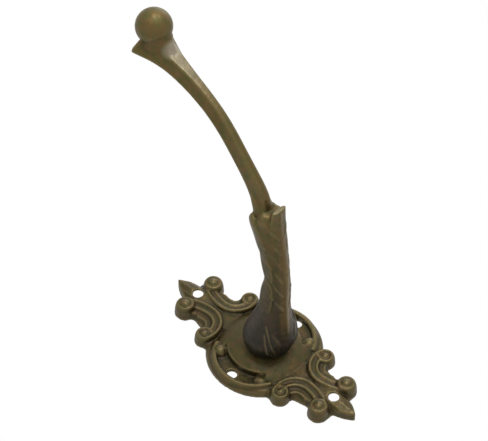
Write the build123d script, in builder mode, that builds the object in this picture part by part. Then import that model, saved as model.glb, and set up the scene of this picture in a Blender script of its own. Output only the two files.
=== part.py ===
"""Hat and coat hook: a relief-cast wall plate and a cast arm, held together by one screw.

Frame: the wall is the plane Y = 0, the hook stands out along -Y, +Z is up along the plate's long
axis and +X is to the right. The origin is the middle of the plate's back. All sizes are in mm.
A "rise" is a distance out from the wall, and an angle on the plate runs from +X towards +Z.
"""
import os
from itertools import pairwise
from math import acos, atan2, cos, degrees, radians, sin

from build123d import *

# ------------------------------------------------------------ plate outline, one quarter of it
plate_half_height = 53.6
plate_half_width = 26.0
leaf_notch_x, leaf_notch_z = 4.5, 45.0
leaf_bulge = -0.6
big_lobe_x, big_lobe_z, big_lobe_radius = 8.7, 40.2, 4.75
big_lobe_turns = -75.0, 93.0
waist_upper_x, waist_upper_z = 9.2, 34.0
waist_lower_x, waist_lower_z = 10.8, 27.3
small_lobe_x, small_lobe_z, small_lobe_radius = 14.1, 22.9, 4.4
small_lobe_turns = -35.0, 115.0
side_notch_x, side_notch_z = 17.7, 18.4
side_arc_x, side_arc_z = 24.0, 9.9

# ------------------------------------------------------------ plate levels
slab_rise = 3.4
edge_straight = 1.5
edge_steps = ((1.1, 22.0), (0.8, 52.0))
dome_rise = 9.3
dome_radius = 21.0
seat_rise = 8.6
pocket_rise = 2.6
pocket_inner_radius = 16.5
neck_rise = 4.5
neck_flare = 60.0
# Sections of the pointed leaf: share of the way from its hole to its tip, then its side, shoulder
# and keel rises.
leaf_sections = (
    (-1.0, 4.3, 4.4, 4.6),
    (-0.3, 4.4, 5.6, 5.8),
    (0.35, 3.6, 5.0, 5.7),
    (1.0, 3.0, 3.9, 4.7),
)
leaf_shoulder = 0.65

# ------------------------------------------------------------ hollow back
edge_wall = 2.2
face_wall = 1.8
hole_core_rise = 4.4
hole_core_mouth, hole_core_roof = 6.4, 2.9
hole_core_wall = 0.8
dome_wall = 2.4
boss_radius = 5.6
boss_rise = 4.2

# ------------------------------------------------------------ holes
wall_screw_hole = 4.7
tip_hole_z = 41.0
side_hole_x = 20.2
arm_screw_diameter = 5.0
arm_screw_clearance = 0.1

# ------------------------------------------------------------ scrolls: crest rise, half width, floor
lobe_margin = 0.1
ridge_end_gap = 1.7
ridge_upper_radius = 21.3
ridge_spacing = 3.2
ridge_lap = 4.0
outer_ridge_rise, outer_ridge_half, outer_floor = 6.1, 0.9, 5.2
inner_ridge_rise, inner_ridge_half, inner_floor = 5.6, 0.75, 4.2
third_ridge_rise, third_ridge_half = 4.4, 0.6
terrace_inset = 0.6
big_curl_radius, big_curl_rise, big_curl_half, big_curl_floor = 3.3, 7.1, 0.8, 5.6
big_knob_radius, big_knob_rise = 2.5, 7.9
small_curl_radius, small_curl_rise, small_curl_half, small_curl_floor = 3.0, 5.9, 0.7, 4.9
small_knob_radius, small_knob_rise = 1.7, 6.2
knob_ball = 1.1

# ------------------------------------------------------------ rims beside the dome
side_ridge_rise, side_ridge_half = 4.9, 1.1
side_crest_x = 23.7
side_rim_fall = 2.05
side_rim_wrap = 14.0
side_curl_x, side_curl_z, side_curl_radius = 15.0, 12.2, 2.4
side_knob_radius, side_knob_rise = 3.2, 5.6

# ------------------------------------------------------------ arm: foot and leaf sheath
# Each station is a round section: rise, height of its middle, radius.
stem_stations = (
    (seat_rise, -2.2, 9.7),
    (10.4, -2.2, 10.5),
    (13.0, -2.3, 11.2),
    (16.0, -2.6, 11.5),
    (19.0, -2.9, 10.9),
    (23.0, -3.4, 9.8),
    (29.0, -4.2, 8.2),
    (37.0, -5.0, 6.8),
    (45.0, -5.4, 6.1),
    (51.0, -5.8, 5.6),
    (57.0, -5.8, 5.2),
    (66.0, -4.2, 5.1),
    (76.0, -1.6, 5.3),
    (84.0, 0.8, 5.0),
    (90.0, 3.3, 4.4),
    (97.0, 7.0, 3.0),
)
# The leaf lies along the underside and its broad tip curls away: rise, height, half width, half depth.
tongue_stations = (
    (54.0, -8.4, 2.8, 2.5),
    (64.0, -7.7, 3.7, 2.6),
    (74.0, -6.3, 4.2, 2.5),
    (84.0, -5.2, 4.5, 2.1),
    (94.4, -5.6, 3.7, 1.2),
)
# Its midrib: rise, height, radius.
midrib_stations = (
    (20.0, -11.6, 1.6),
    (29.0, -11.4, 1.6),
    (45.0, -10.6, 1.6),
    (60.0, -10.2, 1.6),
    (75.0, -7.7, 1.6),
    (86.0, -6.2, 1.3),
    (93.4, -6.2, 0.9),
)
# Leaves wrapped round the stem. Each starts and ends in a point: angle round the stem from +X
# towards +Z, rise, and how proud of the stem it stands. Between are broad stations, which also have
# a half width and a half depth.
side_leaves = (
    ((-5.0, 32.0, -1.5), (8.0, 57.0, 0.4), (
        (0.0, 40.0, -0.6, 3.4, 1.0),
        (4.0, 46.0, -0.7, 3.8, 1.1),
        (7.0, 52.0, -0.5, 3.0, 0.9),
    )),
    ((5.0, 50.0, -1.5), (18.0, 73.5, 0.6), (
        (10.0, 57.0, -0.7, 3.2, 1.0),
        (14.0, 63.0, -0.5, 3.8, 1.1),
        (17.0, 69.5, -0.3, 3.0, 0.9),
    )),
    ((10.0, 64.0, -1.5), (30.0, 88.5, -0.2), (
        (14.0, 70.0, -0.4, 3.4, 1.1),
        (18.0, 75.5, -0.1, 4.0, 1.3),
        (22.0, 81.0, 0.6, 3.9, 1.3),
        (26.0, 85.3, 1.1, 3.2, 1.2),
    )),
)
foot_leaf = ((-16.0, 32.0, -1.8), (-62.0, 10.8, 0.0), (
    (-31.0, 25.5, -1.0, 2.8, 1.1),
    (-44.0, 19.8, -0.8, 4.0, 1.3),
    (-55.0, 14.8, -0.7, 3.4, 1.1),
))
foot_vein = ((-18.0, 31.0, -0.3), (-61.0, 12.5, 0.2), (
    (-28.0, 28.0, 0.3, 0.5, 0.5),
    (-43.0, 21.0, 0.6, 0.5, 0.5),
    (-55.0, 15.0, 0.3, 0.5, 0.5),
))

# ------------------------------------------------------------ arm: bare stretch and ball
# Each station: rise, height, back width, front width, thickness, then the radii of the back and
# front corners.
arm_stations = (
    (78.0, -1.6, 7.2, 5.8, 8.6, 2.2, 2.4),
    (90.8, 3.5, 6.7, 5.2, 8.0, 1.8, 2.2),
    (103.1, 10.3, 6.2, 4.3, 7.0, 1.3, 1.8),
    (113.5, 18.6, 6.6, 3.5, 6.4, 0.9, 1.5),
    (122.9, 27.4, 7.4, 3.1, 6.2, 0.8, 1.3),
    (130.5, 38.9, 8.2, 3.3, 6.0, 0.7, 1.2),
    (135.8, 50.4, 10.4, 4.7, 5.9, 0.6, 1.2),
    (139.4, 60.2, 15.8, 6.8, 5.6, 0.5, 1.2),
    (140.6, 67.6, 22.0, 8.0, 5.0, 0.5, 1.0),
)
# The flared end goes on into a rounded lip.
lip_stations = (
    (140.8, 68.8, 22.8, 8.4, 4.9, 0.5, 1.0),
    (140.9, 69.7, 20.6, 7.0, 3.7, 0.5, 1.0),
)
ball_radius = 7.8
# The cone that carries the ball: where it starts, its end radii and its length.
ball_neck_rise, ball_neck_z = 138.9, 55.7
ball_neck_radii = 2.2, 5.2
ball_neck_length = 10.0
ball_rise, ball_z = 148.2, 66.2

# ------------------------------------------------------------ arm screw
screw_z = stem_stations[0][1]
screw_depth_in_foot = 9.0
screw_end_gap = 0.5
screw_tip_bevel = 0.6
screw_head_radius = 4.3
screw_head_ball = 6.0
screw_head_height = 2.6
screw_slot_width, screw_slot_depth = 1.2, 1.2
screw_head_rise = boss_rise - screw_head_height
screw_tip_rise = seat_rise + screw_depth_in_foot - screw_end_gap

outward = (0, -1, 0)


def wall_plane(rise=0.0):
    """Plane parallel to the wall: its x is +X, its y is +Z and its normal points outward."""
    return Plane.XZ.offset(rise)


def radial_plane(x, z, angle):
    """Plane through the axis of a scroll: its x points away from the axis, its y is the rise."""
    c, s = cos(radians(angle)), sin(radians(angle))
    return Plane(origin=(x, 0, z), x_dir=(c, 0, s), z_dir=(s, 0, -c))


def stem_at(rise):
    """Height of the stem's middle, and its radius, at a rise."""
    low, high = next(pair for pair in pairwise(stem_stations) if pair[0][0] <= rise <= pair[1][0])
    share = (rise - low[0]) / (high[0] - low[0])
    return low[1] + share * (high[1] - low[1]), low[2] + share * (high[2] - low[2])


def oval(half_x, half_y):
    """Ellipse, or a circle where both halves are the same."""
    return Circle(half_x) if half_x == half_y else Ellipse(half_x, half_y)


def domed_section(plane, ball, rise, foot, width):
    """Half section of a turned boss: a ball's cap topping out at a rise, cut off at foot and width."""
    with BuildSketch(plane) as section:
        with Locations((0, rise - ball)):
            Circle(ball)
        with Locations((0, foot)):
            Rectangle(width, rise, align=(Align.MIN, Align.MIN), mode=Mode.INTERSECT)
    return section.sketch


def turned_knob(x, z, radius, rise):
    """Domed knob in the eye of a scroll."""
    section = domed_section(radial_plane(x, z, 0), knob_ball * radius, rise, edge_straight, radius)
    return revolve(section, axis=Axis((x, 0, z), outward), revolution_arc=360)


def shoulder_section(plane, crest, half, rise, fall):
    """Half section of a rim: a crest that rounds off outward over a fall and is cut upright inside."""
    with BuildSketch(plane) as section:
        with Locations((crest, edge_straight)):
            Ellipse(fall, rise - edge_straight)
        with Locations((crest - half, edge_straight)):
            Rectangle(half + fall, rise, align=(Align.MIN, Align.MIN), mode=Mode.INTERSECT)
    return section.sketch


def curled_lobe(x, z, edge, crest, half, rise, floor):
    """Round lobe at the end of a scroll: a rounded shoulder round a slightly sunk floor."""
    axis = Axis((x, 0, z), outward)
    plane = radial_plane(x, z, 0)
    with BuildSketch(plane) as sunk:
        with Locations((0, edge_straight)):
            Rectangle(crest, floor - edge_straight, align=(Align.MIN, Align.MIN))
    rim = shoulder_section(plane, crest, half, rise, edge - lobe_margin - crest)
    return revolve(rim + sunk.sketch, axis=axis, revolution_arc=360)


def terraces(x, z, radius, start, stop):
    """Terraces of an end scroll: three round ridges with floors between, turned from start to stop."""
    with BuildSketch(radial_plane(x, z, start)) as section:
        for count, (rise, half) in enumerate((
            (outer_ridge_rise, outer_ridge_half),
            (inner_ridge_rise, inner_ridge_half),
            (third_ridge_rise, third_ridge_half),
        )):
            with Locations((radius - count * ridge_spacing, rise - half)):
                Circle(half)
                Rectangle(2 * half, rise - half - edge_straight, align=(Align.CENTER, Align.MAX))
        for count, floor in enumerate((outer_floor, inner_floor)):
            with Locations((radius - count * ridge_spacing, edge_straight)):
                Rectangle(ridge_spacing, floor - edge_straight, align=(Align.MAX, Align.MIN))
    return revolve(section.sketch, axis=Axis((x, 0, z), outward), revolution_arc=stop - start)


def outline(plane, inset=0.0):
    """Outline of the plate, drawn for one quarter and mirrored twice."""
    with BuildSketch(plane) as sketch:
        with BuildLine():
            leaf = SagittaArc((leaf_notch_x, leaf_notch_z), (0, plate_half_height), leaf_bulge)
            start, stop = big_lobe_turns
            big = CenterArc((big_lobe_x, big_lobe_z), big_lobe_radius, start, stop - start)
            Line(leaf @ 0, big @ 1)
            waist = Polyline(big @ 0, (waist_upper_x, waist_upper_z), (waist_lower_x, waist_lower_z))
            start, stop = small_lobe_turns
            small = CenterArc((small_lobe_x, small_lobe_z), small_lobe_radius, start, stop - start)
            Line(waist @ 1, small @ 1)
            Line(small @ 0, (side_notch_x, side_notch_z))
            ThreePointArc((side_notch_x, side_notch_z), (side_arc_x, side_arc_z), (plate_half_width, 0))
            mirror(about=Plane.YZ)
            mirror(about=Plane.XZ)
        make_face()
        if inset:
            offset(amount=-inset, kind=Kind.INTERSECTION)
    return sketch.sketch


# ------------------------------------------------------------ sizes worked out for the scrolls
# The upper arc touches the big curl from outside it and has its far left point at the gap.
upper_turn = degrees(acos((ridge_upper_radius - big_lobe_x + ridge_end_gap)
                          / (ridge_upper_radius - big_curl_radius)))
upper_x = ridge_end_gap + ridge_upper_radius
upper_z = big_lobe_z - (ridge_upper_radius - big_curl_radius) * sin(radians(upper_turn))
# The lower arc goes on from that point and touches the small curl from outside it.
reach_x = ridge_end_gap - small_lobe_x
reach_z = upper_z - small_lobe_z
lower_radius = (reach_x**2 + reach_z**2 - small_curl_radius**2) / -(2 * (reach_x + small_curl_radius))
lower_x = ridge_end_gap + lower_radius
lower_stop = 360 + degrees(atan2(small_lobe_z - upper_z, small_lobe_x - lower_x))
# The side rim has its far right point at the crest and passes the side curl at that curl's radius.
side_reach = side_crest_x - side_curl_radius
side_rim_x = (side_reach**2 - side_curl_x**2 - side_curl_z**2) / (2 * (side_reach - side_curl_x))
side_rim_radius = side_crest_x - side_rim_x
side_rim_turn = degrees(atan2(side_curl_z, side_curl_x - side_rim_x)) + side_rim_wrap

# ------------------------------------------------------------ relief of one quarter of the plate
with BuildPart() as scroll_terraces:
    terraces(upper_x, upper_z, ridge_upper_radius, 180 - upper_turn - ridge_lap, 180)
    terraces(lower_x, upper_z, lower_radius, 180, lower_stop + ridge_lap)
    extrude(outline(wall_plane(edge_straight), terrace_inset), amount=outer_ridge_rise, mode=Mode.INTERSECT)

with BuildPart() as scrolls:
    add(scroll_terraces.part)
    curled_lobe(big_lobe_x, big_lobe_z, big_lobe_radius,
                big_curl_radius, big_curl_half, big_curl_rise, big_curl_floor)
    curled_lobe(small_lobe_x, small_lobe_z, small_lobe_radius,
                small_curl_radius, small_curl_half, small_curl_rise, small_curl_floor)
    turned_knob(big_lobe_x, big_lobe_z, big_knob_radius, big_knob_rise)
    turned_knob(small_lobe_x, small_lobe_z, small_knob_radius, small_knob_rise)
    turned_knob(side_curl_x, side_curl_z, side_knob_radius, side_knob_rise)

# ------------------------------------------------------------ relief on one side: the rim
with BuildPart() as side_rim:
    revolve(shoulder_section(radial_plane(side_rim_x, 0, -side_rim_turn), side_rim_radius,
                             side_ridge_half, side_ridge_rise, side_rim_fall),
            axis=Axis((side_rim_x, 0, 0), outward), revolution_arc=2 * side_rim_turn)
    extrude(outline(wall_plane(edge_straight)), amount=side_ridge_rise, mode=Mode.INTERSECT)

# ------------------------------------------------------------ back plate
dome_height = dome_rise - slab_rise
dome_ball = (dome_radius**2 + dome_height**2) / (2 * dome_height)
middle = radial_plane(0, 0, 0)


def leaf_section(share, side, shoulder, keel):
    """Section of the pointed leaf across the plate: a keel with a shoulder on each side of it."""
    with BuildSketch(Plane.XY.offset(tip_hole_z + share * (plate_half_height - tip_hole_z))) as section:
        with BuildLine():
            Polyline((0, -edge_straight), (leaf_notch_x, -edge_straight), (leaf_notch_x, -side),
                     (leaf_shoulder * leaf_notch_x, -shoulder), (0, -keel))
            mirror(about=Plane.YZ)
        make_face()
    return section.sketch


with BuildPart() as leaf_tip:
    # The pointed leaf at the plate's end; it carries the screw hole and its keel falls to the tip.
    loft([leaf_section(*section) for section in leaf_sections], ruled=True)
    extrude(outline(wall_plane(edge_straight)), amount=outer_ridge_rise, mode=Mode.INTERSECT)

with BuildPart() as hole_core:
    # The hollow behind a leaf's screw hole widens towards the wall, so that the web stays thin.
    with BuildSketch(radial_plane(0, tip_hole_z, 0)):
        with BuildLine():
            Polyline((0, 0), (hole_core_mouth, 0), (hole_core_roof, hole_core_rise),
                     (0, hole_core_rise), close=True)
        make_face()
    revolve(axis=Axis((0, 0, tip_hole_z), outward))
    extrude(outline(wall_plane(), hole_core_wall), amount=hole_core_rise, mode=Mode.INTERSECT)

with BuildPart() as dome_core:
    # The hollow behind the dome, with a boss left standing for the screw's head to seat on.
    revolve(domed_section(middle, dome_ball - dome_wall, dome_rise - dome_wall, 0,
                          pocket_inner_radius - dome_wall), axis=Axis(middle.origin, outward))
    with BuildSketch(wall_plane(boss_rise)):
        with Locations((0, screw_z)):
            Circle(boss_radius)
    extrude(amount=dome_rise, mode=Mode.SUBTRACT)

with BuildPart() as back_plate:
    extrude(outline(wall_plane()), amount=edge_straight)
    for height, slope in edge_steps:
        extrude(back_plate.faces().sort_by(Axis.Y)[0], amount=height, taper=slope)
    # The round middle bulges out; its top is cut flat as the seat of the arm.
    revolve(domed_section(middle, dome_ball, dome_rise, edge_straight, dome_radius),
            axis=Axis(middle.origin, outward))
    # A raised neck joins the dome to each leaf, between the end scrolls.
    with BuildSketch(wall_plane(edge_straight)) as neck:
        with BuildLine():
            Polyline((0, tip_hole_z), (ridge_end_gap, tip_hole_z), (ridge_end_gap, upper_z))
            flare = CenterArc((lower_x, upper_z), lower_radius, 180, neck_flare)
            Polyline(flare @ 1, (0, dome_radius / 2), (0, tip_hole_z))
        make_face()
        mirror(about=Plane.YZ)
        mirror(about=Plane.XZ)
    extrude(amount=neck_rise - edge_straight)
    add(leaf_tip.part)
    mirror(leaf_tip.part, about=Plane.XY)
    # The sunk pockets beside the dome.
    with BuildSketch(wall_plane(pocket_rise)) as pocket:
        with Locations((side_rim_x, 0)):
            Circle(side_rim_radius)
        Circle(pocket_inner_radius, mode=Mode.SUBTRACT)
        with Locations((plate_half_width / 2, 0)):
            Rectangle(plate_half_width, 2 * side_curl_z, mode=Mode.INTERSECT)
        mirror(about=Plane.YZ)
    extrude(amount=dome_rise, mode=Mode.SUBTRACT)
    add(side_rim.part)
    mirror(side_rim.part, about=Plane.YZ)
    upper_scrolls = scrolls.part + mirror(scrolls.part, about=Plane.YZ, mode=Mode.PRIVATE)
    add(upper_scrolls)
    mirror(upper_scrolls, about=Plane.XY)
    # Flat seat.
    with BuildSketch(wall_plane(seat_rise)) as above_seat:
        Circle(dome_radius)
    extrude(amount=dome_rise, mode=Mode.SUBTRACT)
    # Hollow back.
    extrude(outline(wall_plane(), edge_wall), amount=pocket_rise - face_wall, mode=Mode.SUBTRACT)
    add(hole_core.part, mode=Mode.SUBTRACT)
    mirror(hole_core.part, about=Plane.XY, mode=Mode.SUBTRACT)
    add(dome_core.part, mode=Mode.SUBTRACT)
    with BuildSketch(wall_plane()) as holes:
        with Locations((0, tip_hole_z), (0, -tip_hole_z), (side_hole_x, 0), (-side_hole_x, 0)):
            Circle(wall_screw_hole / 2)
        with Locations((0, screw_z)):
            Circle(arm_screw_diameter / 2 + arm_screw_clearance)
    extrude(amount=dome_rise, mode=Mode.SUBTRACT)
back_plate.part.label = "back_plate"
os.makedirs("parts", exist_ok=True)
export_step(back_plate.part, "parts/back_plate.step")


# ------------------------------------------------------------ hook arm
def arm_section(rise, z, back, front, thickness, back_corner, front_corner):
    """Section of the bare arm square to its route: a flat back, slanting sides, a narrower front."""
    place = Vector(0, -rise, z)
    with BuildSketch(Plane(origin=place, x_dir=(1, 0, 0), z_dir=arm_route.tangent_at(place))) as section:
        with BuildLine():
            Polyline((-back / 2, thickness / 2), (-front / 2, -thickness / 2),
                     (front / 2, -thickness / 2), (back / 2, thickness / 2), close=True)
        make_face()
        fillet(section.vertices().group_by(Axis.Y)[-1], back_corner)
        fillet(section.vertices().group_by(Axis.Y)[0], front_corner)
    return section.sketch


def level_section(rise, z, half_width, half_depth):
    """Oval section parallel to the wall."""
    with BuildSketch(wall_plane(rise)) as section:
        with Locations((0, z)):
            oval(half_width, half_depth)
    return section.sketch


def wrapped_leaf(root, tip, stations):
    """Leaf laid along the right side of the stem through its stations."""
    places, aways = [], []
    for angle, rise, proud in (root, *(station[:3] for station in stations), tip):
        z, radius = stem_at(rise)
        away = Vector(cos(radians(angle)), 0, sin(radians(angle)))
        places.append(Vector(0, -rise, z) + away * (radius + proud))
        aways.append(away)
    sections = [Vertex(places[0])]
    for count, (angle, rise, proud, half_width, half_depth) in enumerate(stations, start=1):
        along = places[count + 1] - places[count - 1]
        with BuildSketch(Plane(origin=places[count], x_dir=aways[count], z_dir=along)) as section:
            oval(half_depth, half_width)
        sections.append(section.sketch)
    return loft(sections + [Vertex(places[-1])])


with BuildLine():
    arm_route = Spline(*[(0, -rise, z) for rise, z, *rest in (*arm_stations, *lip_stations)])

with BuildPart() as hook_arm:
    loft([level_section(rise, z, radius, radius) for rise, z, radius in stem_stations])
    loft([arm_section(*station) for station in arm_stations])
    loft([arm_section(*station) for station in (arm_stations[-1], *lip_stations)], ruled=True)
    loft([level_section(*station) for station in tongue_stations])
    loft([level_section(rise, z, radius, radius) for rise, z, radius in midrib_stations])
    for leaf in (*side_leaves, foot_leaf, foot_vein):
        right_leaf = wrapped_leaf(*leaf)
        mirror(right_leaf, about=Plane.YZ)
    neck_start = Vector(0, -ball_neck_rise, ball_neck_z)
    ball_middle = Vector(0, -ball_rise, ball_z)
    with Locations(Plane(origin=neck_start, x_dir=(1, 0, 0), z_dir=ball_middle - neck_start)):
        Cone(*ball_neck_radii, ball_neck_length, align=(Align.CENTER, Align.CENTER, Align.MIN))
    with Locations(ball_middle):
        Sphere(ball_radius)
    with BuildSketch(wall_plane(seat_rise)) as screw_way:
        with Locations((0, screw_z)):
            Circle(arm_screw_diameter / 2 + arm_screw_clearance)
    extrude(amount=screw_depth_in_foot, mode=Mode.SUBTRACT)
hook_arm.part.label = "hook_arm"
export_step(hook_arm.part, "parts/hook_arm.step")

# ------------------------------------------------------------ arm screw, driven from behind
with BuildPart() as arm_screw:
    with BuildSketch(wall_plane(boss_rise)) as shank:
        with Locations((0, screw_z)):
            Circle(arm_screw_diameter / 2)
    extrude(amount=screw_tip_rise - boss_rise)
    chamfer(arm_screw.faces().sort_by(Axis.Y)[0].edges(), screw_tip_bevel)
    with BuildSketch(Plane(origin=(0, 0, screw_z), x_dir=(1, 0, 0), z_dir=(0, 0, 1))) as head:
        with Locations((0, -screw_head_rise - screw_head_ball)):
            Circle(screw_head_ball)
        with Locations((0, -boss_rise)):
            Rectangle(screw_head_radius, screw_head_height, align=(Align.MIN, Align.MIN), mode=Mode.INTERSECT)
    revolve(axis=Axis((0, 0, screw_z), outward))
    with BuildSketch(wall_plane(screw_head_rise)) as slot:
        with Locations((0, screw_z)):
            Rectangle(3 * screw_head_radius, screw_slot_width)
    extrude(amount=screw_slot_depth, mode=Mode.SUBTRACT)
arm_screw.part.label = "arm_screw"
export_step(arm_screw.part, "parts/arm_screw.step")
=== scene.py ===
# %% [markdown]
# # A cast hat and coat hook in antique brass
#
# The hook is two sand castings and one screw. A relief-cast wall plate carries scrolls, a round dome
# and two pointed leaves, and a long arm grows out of a leaf and ends in a ball. The metal was
# darkened with a chemical patina and then handled for years. The hollows are dark, with patina and
# with painted shade, and the crests are lighter, with wear and with a painted highlight.
#
# The imported model gives every size and place here. This lesson turns it into a softened casting,
# carves the leaf's veins into it, works out where patina and painted shade gather and where crests
# are rubbed and given a painted highlight, and sets it on a pale ground under soft light.

# %% Load the imported model
import math

import bmesh
import bpy
import numpy as np
from mathutils import Matrix, Quaternion, Vector


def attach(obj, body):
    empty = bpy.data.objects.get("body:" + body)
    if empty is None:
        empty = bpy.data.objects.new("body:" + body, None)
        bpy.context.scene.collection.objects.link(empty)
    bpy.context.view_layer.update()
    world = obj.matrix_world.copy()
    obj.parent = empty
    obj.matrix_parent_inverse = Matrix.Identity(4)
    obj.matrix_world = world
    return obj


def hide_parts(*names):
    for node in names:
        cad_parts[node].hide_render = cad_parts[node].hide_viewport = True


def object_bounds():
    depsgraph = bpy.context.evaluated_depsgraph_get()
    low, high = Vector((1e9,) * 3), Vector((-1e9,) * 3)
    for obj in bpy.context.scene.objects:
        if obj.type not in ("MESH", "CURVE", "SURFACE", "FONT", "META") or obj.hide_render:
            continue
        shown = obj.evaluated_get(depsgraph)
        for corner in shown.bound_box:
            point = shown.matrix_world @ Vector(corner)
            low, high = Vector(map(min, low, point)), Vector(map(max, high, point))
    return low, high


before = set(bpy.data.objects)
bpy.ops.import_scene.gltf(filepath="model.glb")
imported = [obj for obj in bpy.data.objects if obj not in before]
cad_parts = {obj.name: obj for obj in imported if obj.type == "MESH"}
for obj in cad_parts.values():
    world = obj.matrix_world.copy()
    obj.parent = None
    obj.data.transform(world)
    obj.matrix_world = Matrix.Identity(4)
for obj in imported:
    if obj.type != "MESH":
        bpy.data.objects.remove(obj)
cad_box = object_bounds()
MM = 0.001
print("nodes", sorted(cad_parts))
print("box in mm", [tuple(round(v / MM, 1) for v in corner) for corner in cad_box])

# %% [markdown]
# ## The view
# The hook lies on its back and is seen from below its lower end, turned so that the arm runs up the
# frame. A long lens keeps the plate from spreading. Three angles and a distance say all of that, and
# are easier to reason about than a matrix: where the camera stands round the hook, how far under it,
# and how far it is rolled about its own line of sight.

# %% Camera
VIEW_AZIMUTH = math.radians(-33.87)
VIEW_ELEVATION = math.radians(-28.11)
VIEW_ROLL = math.radians(-53.79)
VIEW_DISTANCE = 0.9954
VIEW_TARGET = Vector((0.0, -0.0733, 0.0139))
LENS_MM = 177.05

toward_camera = Vector((
    math.sin(VIEW_AZIMUTH) * math.cos(VIEW_ELEVATION),
    -math.cos(VIEW_AZIMUTH) * math.cos(VIEW_ELEVATION),
    math.sin(VIEW_ELEVATION),
))
camera = bpy.data.objects.new("camera", bpy.data.cameras.new("camera"))
bpy.context.scene.collection.objects.link(camera)
camera.location = VIEW_TARGET + toward_camera * VIEW_DISTANCE
camera.rotation_mode = "QUATERNION"
upright = (-toward_camera).to_track_quat("-Z", "Y")
camera.rotation_quaternion = upright @ Quaternion((0, 0, 1), VIEW_ROLL)
camera.data.lens = LENS_MM
camera.data.sensor_width = 36.0
camera.data.clip_start = 0.05
camera.data.clip_end = 20.0
bpy.context.scene.camera = camera
bpy.context.scene.view_settings.view_transform = "Standard"
print("camera at", [round(v, 3) for v in camera.location])

# %% [markdown]
# ## Helpers for materials
# Colours are picked as sRGB hex, as a paint chart gives them, and Blender works in linear light, so
# one function turns one into the other. A second adds a node with its settings and its links, so
# that a material reads as a short list of what feeds what.


# %% Colour and node helpers
def linear(hex_colour):
    """Linear RGBA of an sRGB hex colour."""
    channels = [int(hex_colour[i:i + 2], 16) / 255 for i in (1, 3, 5)]
    light = [c / 12.92 if c <= 0.04045 else ((c + 0.055) / 1.055) ** 2.4 for c in channels]
    return (*light, 1.0)


def add_node(tree, kind, inputs=None, **settings):
    """New node: settings are its properties, inputs its sockets' values or what feeds them.

    A node given as an input stands for its first output.
    """
    node = tree.nodes.new(kind)
    for name, value in settings.items():
        setattr(node, name, value)
    for name, value in (inputs or {}).items():
        value = value.outputs[0] if isinstance(value, bpy.types.Node) else value
        if isinstance(value, bpy.types.NodeSocket):
            tree.links.new(value, node.inputs[name])
        else:
            node.inputs[name].default_value = value
    return node


def new_material(name):
    """Empty node material, and its tree."""
    material = bpy.data.materials.new(name)
    material.use_nodes = True
    material.node_tree.nodes.clear()
    return material, material.node_tree


def whitening_rays(tree):
    """Socket that is 1 for rays that see a backdrop, mirror it or pass to it, and 0 for light."""
    path = add_node(tree, "ShaderNodeLightPath")
    direct = add_node(tree, "ShaderNodeMath", {
        0: path.outputs["Is Camera Ray"], 1: path.outputs["Is Glossy Ray"]}, operation="MAXIMUM")
    seen = add_node(tree, "ShaderNodeMath", {0: direct, 1: path.outputs["Is Transmission Ray"]},
                    operation="MAXIMUM")
    return seen.outputs[0]


print("brass chart colour", [round(c, 3) for c in linear("#8a7a45")])

# %% [markdown]
# ## The ground and the light
# The hook lies on a pale sheet that is lit to clear white, so the sheet shows no tone of its own.
# The sheet is seen only from the front: its back is clear, so that the hollow back of the casting
# can be looked at from behind. The world is white to the eye and in reflections, and softer as a
# source of light.

# %% Pale ground, seen from its front only
GROUND_GAP = 0.0004
GROUND_HALF = 3.0

ground_mesh = bpy.data.meshes.new("ground")
ground_y = cad_box[1].y + GROUND_GAP
corners = [(-GROUND_HALF, -GROUND_HALF), (GROUND_HALF, -GROUND_HALF),
           (GROUND_HALF, GROUND_HALF), (-GROUND_HALF, GROUND_HALF)]
ground_mesh.from_pydata([(x, ground_y, z) for x, z in corners], [], [(0, 1, 2, 3)])
ground = bpy.data.objects.new("ground", ground_mesh)
bpy.context.scene.collection.objects.link(ground)
ground_material, tree = new_material("pale_sheet")
seen = whitening_rays(tree)
matt = add_node(tree, "ShaderNodeBsdfDiffuse", {"Color": linear("#e6e6e6")})
glow = add_node(tree, "ShaderNodeEmission", {"Color": (1, 1, 1, 1), "Strength": 1.0})
front = add_node(tree, "ShaderNodeMixShader", {0: seen, 1: matt, 2: glow})
clear = add_node(tree, "ShaderNodeBsdfTransparent")
side = add_node(tree, "ShaderNodeNewGeometry")
sheet = add_node(tree, "ShaderNodeMixShader", {0: side.outputs["Backfacing"], 1: front, 2: clear})
add_node(tree, "ShaderNodeOutputMaterial", {"Surface": sheet})
ground_mesh.materials.append(ground_material)
print("ground faces", tuple(round(v, 1) for v in ground_mesh.polygons[0].normal))

# %% World and lamps
world = bpy.data.worlds.new("soft_room")
bpy.context.scene.world = world
world.use_nodes = True
tree = world.node_tree
tree.nodes.clear()
seen = whitening_rays(tree)
room = add_node(tree, "ShaderNodeBackground", {"Color": (1, 1, 1, 1), "Strength": 0.5})
white = add_node(tree, "ShaderNodeBackground", {"Color": (1, 1, 1, 1), "Strength": 1.0})
mixed = add_node(tree, "ShaderNodeMixShader", {0: seen, 1: room, 2: white})
add_node(tree, "ShaderNodeOutputWorld", {"Surface": mixed})


def soft_lamp(name, place, size, power):
    """Square softbox that faces the middle of the hook."""
    lamp = bpy.data.lights.new(name, "AREA")
    lamp.size = size
    lamp.energy = power
    holder = bpy.data.objects.new(name, lamp)
    bpy.context.scene.collection.objects.link(holder)
    holder.location = place
    holder.rotation_mode = "QUATERNION"
    holder.rotation_quaternion = (VIEW_TARGET - Vector(place)).to_track_quat("-Z", "Y")
    return holder


soft_lamp("key_softbox", (0.17, -1.05, 0.06), 0.4, 5.0)
soft_lamp("rim_softbox", (0.85, -0.25, 0.45), 0.6, 2.0)

# %% [markdown]
# ## The veins of the leaf
# The stem is wrapped in an acanthus leaf. Its side veins leave the midrib at an even spacing and run
# outwards and up towards the tip, so they follow a rule, and Geometry Nodes can draw them all from a
# few sizes. Each vein starts as a straight line of points far outside the stem. A ray is shot from
# every point at the stem's axis, and the point lands where the ray meets the metal, so the veins
# follow whatever shape the casting has. Then each line is given a round section that thins out.


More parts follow.
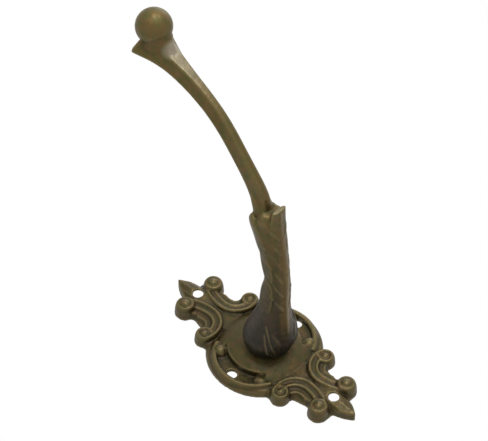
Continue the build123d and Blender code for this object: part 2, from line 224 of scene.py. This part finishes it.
# %% Geometry Nodes tree that lays veins on a casting
# Rays start this far from the stem's axis, well outside the metal.
RAY_START = 0.03


def vein_tree():
    """Tree that lays pairs of ridges over a casting, mirrored about its midrib."""
    tree = bpy.data.node_groups.new("leaf_veins", "GeometryNodeTree")
    tree.interface.new_socket("Geometry", in_out="INPUT", socket_type="NodeSocketGeometry")
    tree.interface.new_socket("Pairs", in_out="INPUT", socket_type="NodeSocketInt")
    for name in ("First Rise", "Spacing", "Climb", "Start Angle", "Reach", "Axis Height",
                 "Axis Bend", "Bend Start", "Root Thickness", "Tip Thickness", "Proud"):
        tree.interface.new_socket(name, in_out="INPUT", socket_type="NodeSocketFloat")
    tree.interface.new_socket("Material", in_out="INPUT", socket_type="NodeSocketMaterial")
    tree.interface.new_socket("Geometry", in_out="OUTPUT", socket_type="NodeSocketGeometry")
    given = add_node(tree, "NodeGroupInput").outputs
    line = add_node(tree, "GeometryNodeCurvePrimitiveLine")
    fine = add_node(tree, "GeometryNodeResampleCurve", {"Curve": line, "Count": 28})
    sides = add_node(tree, "ShaderNodeMath", {0: given["Pairs"], 1: 2.0}, operation="MULTIPLY")
    copies = add_node(tree, "GeometryNodeDuplicateElements", {"Geometry": fine, "Amount": sides},
                      domain="SPLINE")
    # Even copies lie on one side of the midrib and odd ones on the other.
    number = copies.outputs["Duplicate Index"]
    along = add_node(tree, "GeometryNodeSplineParameter").outputs["Factor"]
    odd = add_node(tree, "ShaderNodeMath", {0: number, 1: 2.0}, operation="MODULO")
    side = add_node(tree, "ShaderNodeMath", {0: odd, 1: -2.0, 2: 1.0}, operation="MULTIPLY_ADD")
    half = add_node(tree, "ShaderNodeMath", {0: number, 1: 0.5}, operation="MULTIPLY")
    pair = add_node(tree, "ShaderNodeMath", {0: half}, operation="FLOOR")
    # Angle round the stem from the midrib, and rise above the wall.
    reached = add_node(tree, "ShaderNodeMath", {
        0: along, 1: given["Reach"], 2: given["Start Angle"]}, operation="MULTIPLY_ADD")
    angle = add_node(tree, "ShaderNodeMath", {0: reached, 1: side}, operation="MULTIPLY")
    spaced = add_node(tree, "ShaderNodeMath", {
        0: pair, 1: given["Spacing"], 2: given["First Rise"]}, operation="MULTIPLY_ADD")
    rise = add_node(tree, "ShaderNodeMath", {0: along, 1: given["Climb"], 2: spaced},
                    operation="MULTIPLY_ADD")
    # The stem's axis is straight at first and then bends upwards as a parabola.
    past = add_node(tree, "ShaderNodeMath", {0: rise, 1: given["Bend Start"]}, operation="SUBTRACT")
    bent = add_node(tree, "ShaderNodeMath", {0: past, 1: 0.0}, operation="MAXIMUM")
    square = add_node(tree, "ShaderNodeMath", {0: bent, 1: 2.0}, operation="POWER")
    height = add_node(tree, "ShaderNodeMath", {
        0: square, 1: given["Axis Bend"], 2: given["Axis Height"]}, operation="MULTIPLY_ADD")
    depth = add_node(tree, "ShaderNodeMath", {0: rise, 1: -1.0}, operation="MULTIPLY")
    axis = add_node(tree, "ShaderNodeCombineXYZ", {"Y": depth, "Z": height})
    # A point starts outside the stem, and its ray runs straight at the axis.
    across = add_node(tree, "ShaderNodeMath", {0: angle}, operation="SINE")
    under = add_node(tree, "ShaderNodeMath", {0: angle}, operation="COSINE")
    down = add_node(tree, "ShaderNodeMath", {0: under, 1: -1.0}, operation="MULTIPLY")
    outward = add_node(tree, "ShaderNodeCombineXYZ", {"X": across, "Z": down})
    far = add_node(tree, "ShaderNodeVectorMath", {0: outward, 1: (RAY_START,) * 3, 2: axis},
                   operation="MULTIPLY_ADD")
    inward = add_node(tree, "ShaderNodeVectorMath", {0: outward, "Scale": -1.0}, operation="SCALE")
    ray = add_node(tree, "GeometryNodeRaycast", {
        "Target Geometry": given["Geometry"], "Source Position": far, "Ray Direction": inward,
        "Ray Length": RAY_START})
    lift = add_node(tree, "ShaderNodeVectorMath", {0: outward, "Scale": given["Proud"]},
                    operation="SCALE")
    laid = add_node(tree, "GeometryNodeSetPosition", {
        "Geometry": copies.outputs["Geometry"], "Position": ray.outputs["Hit Position"],
        "Offset": lift})
    # The line gets a round section that changes evenly from its root to its tip.
    radius = add_node(tree, "ShaderNodeMapRange", {
        0: along, 1: 0.0, 2: 1.0, 3: given["Root Thickness"], 4: given["Tip Thickness"]})
    ring = add_node(tree, "GeometryNodeCurvePrimitiveCircle", {"Resolution": 8, "Radius": 1.0})
    ridges = add_node(tree, "GeometryNodeCurveToMesh", {
        "Curve": laid, "Profile Curve": ring, "Scale": radius, "Fill Caps": True})
    both = add_node(tree, "GeometryNodeJoinGeometry")
    tree.links.new(ridges.outputs[0], both.inputs[0])
    tree.links.new(given["Geometry"], both.inputs[0])
    real = add_node(tree, "GeometryNodeRealizeInstances", {"Geometry": both})
    finished = add_node(tree, "GeometryNodeSetMaterial", {"Geometry": real,
                                                          "Material": given["Material"]})
    add_node(tree, "NodeGroupOutput", {"Geometry": finished})
    return tree


veins = vein_tree()
print("vein tree has", len(veins.nodes), "nodes")

# %% [markdown]
# ## From drawing to casting
# A sand casting has no sharp corner: metal flows round every edge of the mould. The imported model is
# crisp, so a copy of each casting is rebuilt from small even cells and smoothed a little. That gives
# rounded crests and soft valleys everywhere at once, which bevelling edge by edge could not, and
# leaves an even skin that can be carved. The veins, the full middle of the leaf and the thick neck
# under the ball are added as plain closed bodies first. The rebuild fuses them all into one skin, so
# they melt into the casting as its own metal would.


# %% Closed body through oval rings
OVAL_STEPS = 32


def add_body(work, rings):
    """Adds a closed body through level ovals: rise, height, half width and half depth in mm."""
    turns = [math.tau * k / OVAL_STEPS for k in range(OVAL_STEPS)]
    loops = []
    for rise, height, half_width, half_depth in rings:
        loops.append([work.verts.new((
            half_width * math.cos(t) * MM, -rise * MM, (height + half_depth * math.sin(t)) * MM,
        )) for t in turns])
    for lower, upper in zip(loops, loops[1:]):
        for k in range(OVAL_STEPS):
            work.faces.new((lower[k], lower[k - 1], upper[k - 1], upper[k]))
    work.faces.new(loops[0])
    work.faces.new(reversed(loops[-1]))


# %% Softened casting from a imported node
def softened_casting(name, node, cell, passes, vein_sets=(), collars=(), bodies=()):
    """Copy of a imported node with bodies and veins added, rebuilt from even cells and smoothed."""
    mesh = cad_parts[node].data.copy()
    work = bmesh.new()
    work.from_mesh(mesh)
    bmesh.ops.remove_doubles(work, verts=work.verts, dist=1e-7)
    for place, radius in collars:
        bmesh.ops.create_icosphere(work, subdivisions=4, radius=radius * MM,
                                   matrix=Matrix.Translation(Vector(place) * MM))
    for rings in bodies:
        add_body(work, rings)
    work.to_mesh(mesh)
    work.free()
    casting = bpy.data.objects.new(name, mesh)
    bpy.context.scene.collection.objects.link(casting)
    sockets = {item.name: item.identifier for item in veins.interface.items_tree
               if item.in_out == "INPUT"}
    for sizes in vein_sets:
        laying = casting.modifiers.new("veins", "NODES")
        laying.node_group = veins
        for size_name, value in sizes.items():
            laying[sockets[size_name]] = value
    remesh = casting.modifiers.new("even_cells", "REMESH")
    remesh.mode = "VOXEL"
    remesh.voxel_size = cell
    smooth = casting.modifiers.new("soften", "SMOOTH")
    smooth.factor = 0.5
    smooth.iterations = passes
    bpy.context.view_layer.update()
    evaluated = casting.evaluated_get(bpy.context.evaluated_depsgraph_get())
    even = bpy.data.meshes.new_from_object(evaluated)
    casting.modifiers.clear()
    casting.data = even
    casting.data.materials.clear()
    even.shade_smooth()
    print(name, "has", sum(len(p.vertices) - 2 for p in even.polygons), "triangles")
    return casting


# Rises are measured out from the wall, and angles round the stem from the midrib, in radians.
STEM_AXIS = {"Axis Height": -5.5 * MM, "Axis Bend": 4.5, "Bend Start": 52 * MM}
leaf_side_veins = {
    "Pairs": 6, "First Rise": 38 * MM, "Spacing": 8.2 * MM, "Climb": 14 * MM,
    "Start Angle": 0.25, "Reach": 1.35,
    "Root Thickness": 1.1 * MM, "Tip Thickness": 0.7 * MM, "Proud": -0.62 * MM, **STEM_AXIS,
}
foot_rib = {
    "Pairs": 1, "First Rise": 31 * MM, "Spacing": 0.0, "Climb": -17 * MM,
    "Start Angle": 1.45, "Reach": -0.35,
    "Root Thickness": 0.8 * MM, "Tip Thickness": 1.2 * MM, "Proud": -0.70 * MM, **STEM_AXIS,
}
# The leaf's middle closes round the arm, and it ends in a rounded ledge below the leaf's tips. Each
# oval gives its rise, height, half width and half depth in mm.
leaf_middle = (
    (54, -5.7, 4.4, 4.4), (62, -5.0, 5.3, 5.0), (70, -3.9, 5.9, 5.3), (77, -2.5, 6.3, 5.5),
    (83, -1.0, 6.4, 5.3), (87.5, -0.8, 6.5, 5.2), (89.3, -1.2, 5.2, 4.3), (90.4, -1.2, 3.8, 3.0),
)
# Two hidden balls fill the corner between the neck and the ball at the arm's end: middle and radius.
ball_collars = (((0.0, -143.6, 61.0), 4.2), ((0.0, -142.2, 64.6), 6.7))
PLATE_CELL = 0.355 * MM
ARM_CELL = 0.325 * MM
plate = softened_casting("plate_casting", "back_plate", PLATE_CELL, 5)
arm = softened_casting("arm_casting", "hook_arm", ARM_CELL, 6, (leaf_side_veins, foot_rib),
                       ball_collars, (leaf_middle,))


# %% Vertex arrays in and out
def read_points(mesh):
    """Vertex places in mm, as rows of x, y, z."""
    points = np.empty(len(mesh.vertices) * 3, np.float32)
    mesh.vertices.foreach_get("co", points)
    return points.reshape(-1, 3).astype(float) / MM


def read_normals(mesh):
    """Vertex normals."""
    normals = np.empty(len(mesh.vertices) * 3, np.float32)
    mesh.vertices.foreach_get("normal", normals)
    return normals.reshape(-1, 3).astype(float)


def read_edges(mesh):
    """Vertex pairs of the edges."""
    pairs = np.empty(len(mesh.edges) * 2, np.int32)
    mesh.edges.foreach_get("vertices", pairs)
    return pairs.reshape(-1, 2)


def spread(values, pairs, passes):
    """Values averaged with their neighbours', again and again."""
    count = np.bincount(pairs.ravel(), minlength=len(values)).astype(float)
    count = count[:, None] if values.ndim > 1 else count
    for _ in range(passes):
        total = np.zeros_like(values)
        np.add.at(total, pairs[:, 0], values[pairs[:, 1]])
        np.add.at(total, pairs[:, 1], values[pairs[:, 0]])
        values = 0.5 * values + 0.5 * total / count
    return values


print("plate vertices", len(read_points(plate.data)))

# %% [markdown]
# ## Metal that runs together
# Under the ball, inside the leaf and in the eyes of the scrolls the mould's sand had no sharp corner
# left, so the metal there runs together more than elsewhere. These places are smoothed further, each
# inside a sphere, and the effect fades out towards the sphere's edge. Smoothing the whole casting as
# much would wash out its ridges.


# %% Melt the metal round a place
def melt(casting, centre, radius, passes):
    """Smooths the metal inside a sphere, fully up to four fifths of its radius."""
    mesh = casting.data
    points, pairs = read_points(mesh), read_edges(mesh)
    away = np.linalg.norm(points - np.array(centre), axis=1) / radius
    near = away < 1.0
    number = np.cumsum(near) - 1
    close_pairs = number[pairs[near[pairs].all(1)]]
    weight = np.clip((1.0 - away[near]) * 5, 0, 1)[:, None]
    points[near] += weight * (spread(points[near], close_pairs, passes) - points[near])
    mesh.vertices.foreach_set("co", (points * MM).astype(np.float32).ravel())
    mesh.update()


# Across, rise off the wall and height in mm, then the sphere's radius and the passes. The plate's
# spots repeat on its four corners: a large eye, a small eye, and the end of a pocket by the dome.
PLATE_SPOTS = ((8.7, 6.5, 40.2, 5.5, 14), (14.1, 5.5, 22.9, 4.5, 10), (11.1, 6.0, 12.2, 3.6, 16))
# On the arm, two lie under the ball and three up the middle of the leaf.
ARM_SPOTS = ((-2.5, 142.5, 60.0, 7.0, 50), (-1.0, 143.0, 64.5, 7.0, 45), (0.0, 68.0, -5.0, 8.5, 14),
             (0.0, 80.0, -1.5, 9.0, 14), (0.0, 88.0, 0.5, 8.5, 14))
for side_x in (-1, 1):
    for side_z in (-1, 1):
        for across, rise, height, radius, passes in PLATE_SPOTS:
            melt(plate, (side_x * across, -rise, side_z * height), radius, passes)
for across, rise, height, radius, passes in ARM_SPOTS:
    melt(arm, (across, -rise, height), radius, passes)
print("melted", 4 * len(PLATE_SPOTS) + len(ARM_SPOTS), "places")

# %% [markdown]
# ## Clear light through a screw hole
# The back of the plate is hollow, and the thin wall round the hollow passes behind the upper leaf's
# screw hole. The real hole shows clear light, so the model's wall is filed back there, though how
# the hidden back of the real plate clears it isn't known. Lifting the foot of the wall, with a soft
# edge, does that without cutting the mesh open.

# %% Filed wall behind the upper leaf
FILED_PLACE = (4.5, 45.0)
FILED_RADIUS = 3.5
FILED_DEPTH = 2.4

plate_points = read_points(plate.data)
from_place = np.linalg.norm(plate_points[:, (0, 2)] - np.array(FILED_PLACE), axis=1)
filed = FILED_DEPTH * np.clip(FILED_RADIUS - from_place, 0, 1)
plate_points[:, 1] = np.minimum(plate_points[:, 1], -filed)
plate.data.vertices.foreach_set("co", (plate_points * MM).astype(np.float32).ravel())
plate.data.update()
print("filed round", int((filed > 0).sum()), "points")

# %% [markdown]
# ## Where patina and painted shade gather, and where crests get wear and painted highlights
# Hollows take patina and painted shade, and crests take wear and a painted highlight. How far a
# point stands out of the smoothed surface round it says which it is. Two widths of smoothing are
# kept: a narrow one for edges, and a wide one for the valleys between the scrolls. Both are stored
# on the mesh for the finish to read, since a painted map would have to be drawn again whenever the
# shape changes.


# %% Crest and hollow maps
# Name, smoothing passes, and the height in mm over the smoothed surface that counts as full.
RELIEFS = (("edge_relief", 8, 0.05), ("wide_relief", 80, 0.35))


def store(casting, name, values):
    """Stores one number for each vertex."""
    layer = casting.data.attributes.new(name, "FLOAT", "POINT")
    layer.data.foreach_set("value", values.astype(np.float32))


def store_relief(casting):
    """Stores two attributes, each 0.5 on a flat, higher on a crest and lower in a hollow."""
    mesh = casting.data
    points, pairs, normals = read_points(mesh), read_edges(mesh), read_normals(mesh)
    for name, passes, full in RELIEFS:
        height = ((points - spread(points, pairs, passes)) * normals).sum(1)
        values = np.clip(0.5 + 0.5 * height / full, 0, 1)
        store(casting, name, values)
        low, middle, high = np.percentile(values, (2, 50, 98)).round(2)
        print(casting.name, name, "runs from", low, "over", middle, "to", high)


store_relief(plate)
store_relief(arm)


# %% Patina, painted shade and painted highlight maps
PLATE_PATINA = 0.46
# The level falls from the wall out towards the ball. Up to about 16 mm out it is highest: that is
# painted shade in the undercut under the foot.
ARM_PATINA_AND_SHADE = {9: 1.0, 12.5: 0.95, 16: 0.82, 22: 0.77, 32: 0.68, 45: 0.56, 65: 0.30, 95: 0.05}
BALL_MIDDLE = (0.0, -148.2, 66.2)
BALL_EDGE = 8.6
FACET_NORMAL = (0.0, -0.86, -0.51)
FACET_TOP = (1.5, -141.5, 56.5)
FACET_TOP_RADIUS = 6.0
LEAF_FRONT_HEIGHT = -2.0

arm_points, arm_normals = read_points(arm.data), read_normals(arm.data)
arm_rise, arm_height = -arm_points[:, 1], arm_points[:, 2]
no_plate_values = np.zeros(len(plate.data.vertices))
store(plate, "patina_and_shade", no_plate_values + PLATE_PATINA)
# The arm's levels hold the painted shade in the undercut under the foot.
store(arm, "patina_and_shade", np.interp(arm_rise, list(ARM_PATINA_AND_SHADE), list(ARM_PATINA_AND_SHADE.values())))

# The facet on the front of the arm, which faces the key light, gets a painted highlight that fades
# down the arm. It is heaviest at the facet's top, where the weight goes past 1 and makes the metal
# lighter still.
facing_front = np.clip((arm_normals @ np.array(FACET_NORMAL) - 0.86) / 0.10, 0, 1)
up_the_arm = np.interp(arm_height, (20, 36, 50, 60), (0.0, 0.25, 1.0, 1.0))
from_ball = np.linalg.norm(arm_points - np.array(BALL_MIDDLE), axis=1)
off_ball = np.clip((from_ball - BALL_EDGE) / 1.5, 0, 1)
from_top = np.linalg.norm(arm_points - np.array(FACET_TOP), axis=1)
facet_top_highlight = 1.7 * np.clip((FACET_TOP_RADIUS - from_top) / 3, 0, 1)
# The rim at the leaf's tip faces away from the wall and gets a faint painted highlight.
facing_out = np.clip((-arm_normals[:, 1] - 0.6) / 0.2, 0, 1)
at_the_tip = np.interp(arm_rise, (91, 93, 96, 97), (0, 1, 1, 0)) * (arm_height < 0)
leaf_rim_highlight = 0.5 * facing_out * at_the_tip
# Facet and rim together make the painted highlight.
highlight_weight = np.maximum(np.maximum(facing_front * up_the_arm, facet_top_highlight) * off_ball, leaf_rim_highlight)
store(arm, "painted_highlight", highlight_weight)
store(plate, "painted_highlight", no_plate_values)

# The midrib lies along the front of the leaf and has kept a redder brown.
from_midrib = np.abs(np.arctan2(arm_points[:, 0], LEAF_FRONT_HEIGHT - arm_height))
along_midrib = np.interp(arm_rise, (18, 34, 80, 96), (0.0, 1.0, 1.0, 0.0))
store(arm, "midrib", np.clip((0.42 - from_midrib) / 0.20, 0, 1) * along_midrib)
store(plate, "midrib", no_plate_values)
print("rubbed bright", round(float((highlight_weight > 0.4).mean()), 3), "of the arm")

# %% [markdown]
# ## Antique brass
# The metal is cast brass under a thin brown-olive patina, so it reflects as metal but softly. The
# arm and the ball keep an olive brass, while the plate and the foot are darker and greyer, and the
# undercut under the foot is near black with painted shade. The crests are lighter, with wear and a
# painted highlight, the hollows are nearly black, with patina and painted shade, the front facet
# of the arm carries a painted highlight, and the patina clouds the flats in patches some
# millimetres wide.


# %% Antique brass material
CLOUD_SIZE = 9 * MM
PATCH_SIZE = 3.2 * MM
LUMP_SIZE = 2.6 * MM
GRAIN_SIZE = 0.7 * MM


def antique_brass(name):
    """Patinated cast brass, with painted shade in hollows and painted highlights."""
    material, tree = new_material(name)
    place = add_node(tree, "ShaderNodeTexCoord").outputs["Object"]
    clouds = add_node(tree, "ShaderNodeTexNoise", {
        "Vector": place, "Scale": 1 / CLOUD_SIZE, "Detail": 4.0, "Roughness": 0.6})
    patches = add_node(tree, "ShaderNodeTexNoise", {
        "Vector": place, "Scale": 1 / PATCH_SIZE, "Detail": 3.0, "Roughness": 0.55})
    marks = {mark: add_node(tree, "ShaderNodeAttribute", attribute_name=mark).outputs["Fac"]
             for mark in ("patina_and_shade", "midrib", "wide_relief", "edge_relief", "painted_highlight")}
    # From olive brass through brown to black; the black is painted shade in the foot's undercut.
    uneven = add_node(tree, "ShaderNodeMapRange", {0: clouds, 1: 0.3, 2: 0.7, 3: -0.10, 4: 0.10})
    patina_and_shade = add_node(tree, "ShaderNodeMath", {0: marks["patina_and_shade"], 1: uneven}, operation="ADD")
    ramp = add_node(tree, "ShaderNodeValToRGB", {0: patina_and_shade})
    stops = ramp.color_ramp.elements
    stops[0].position, stops[0].color = 0.0, linear("#5f522c")
    stops[1].position, stops[1].color = 1.0, linear("#1d1b1b")
    for position, colour in ((0.45, "#493e20"), (0.72, "#372f24")):
        stops.new(position).color = linear(colour)
    # Patches lean to green or to brown.
    tint = add_node(tree, "ShaderNodeMapRange", {0: patches, 1: 0.39, 2: 0.61, 3: 0.0, 4: 1.0})
    lean = add_node(tree, "ShaderNodeMix", {
        0: tint, 6: (1.14, 0.97, 0.95, 1.0), 7: (0.86, 1.04, 0.86, 1.0)}, data_type="RGBA")
    mottled = add_node(tree, "ShaderNodeMix", {0: 1.0, 6: ramp, 7: lean.outputs[2]},
                       data_type="RGBA", blend_type="MULTIPLY")
    # The midrib is redder. The hollows are nearly black, with patina and painted shade, the crests
    # lighter, with wear and a painted highlight, and the facet grey with a painted highlight.
    hollow_patina_and_shade = add_node(tree, "ShaderNodeMapRange", {
        0: marks["wide_relief"], 1: -0.1, 2: 0.42, 3: 0.6, 4: 0.0})
    crest_wear_and_highlight = add_node(tree, "ShaderNodeMapRange", {
        0: marks["edge_relief"], 1: 0.58, 2: 1.0, 3: 0.0, 4: 0.34})
    colour = mottled
    for weight, over in ((marks["midrib"], "#604e2b"), (hollow_patina_and_shade, "#1f1b17"), (crest_wear_and_highlight, "#7d6f48"),
                         (marks["painted_highlight"], "#80765f")):
        colour = add_node(tree, "ShaderNodeMix", {0: weight, 6: colour.outputs[2], 7: linear(over)},
                          data_type="RGBA", clamp_factor=False)
    # Sand leaves lumps some millimetres wide and a finer grain on them.
    lumps = add_node(tree, "ShaderNodeTexNoise", {
        "Vector": place, "Scale": 1 / LUMP_SIZE, "Detail": 2.0})
    grain = add_node(tree, "ShaderNodeTexNoise", {
        "Vector": place, "Scale": 1 / GRAIN_SIZE, "Detail": 3.0})
    swell = add_node(tree, "ShaderNodeBump", {"Height": lumps, "Strength": 1.0,
                                              "Distance": 0.30 * MM})
    bump = add_node(tree, "ShaderNodeBump", {"Height": grain, "Strength": 0.5,
                                             "Distance": 0.10 * MM, "Normal": swell})
    # Crests are handled smooth, so they take a glint.
    rough = add_node(tree, "ShaderNodeMapRange", {0: patches, 1: 0.3, 2: 0.7, 3: 0.50, 4: 0.66})
    smooth = add_node(tree, "ShaderNodeMath", {0: crest_wear_and_highlight, 1: -0.25, 2: rough},
                      operation="MULTIPLY_ADD")
    metal = add_node(tree, "ShaderNodeBsdfPrincipled", {
        "Base Color": colour.outputs[2], "Metallic": 0.9, "Roughness": smooth, "Normal": bump,
        "Coat Weight": 0.22, "Coat Roughness": 0.34, "Coat Normal": bump,
    })
    add_node(tree, "ShaderNodeOutputMaterial", {"Surface": metal})
    return material


brass = antique_brass("cast_antique_brass")
for casting, node in ((plate, "back_plate"), (arm, "hook_arm")):
    casting.data.materials.append(brass)
    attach(casting, "root")
    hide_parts(node)
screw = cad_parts["arm_screw"]
screw.data.materials.clear()
screw.data.materials.append(brass)
print("finished", plate.name, arm.name, screw.name)
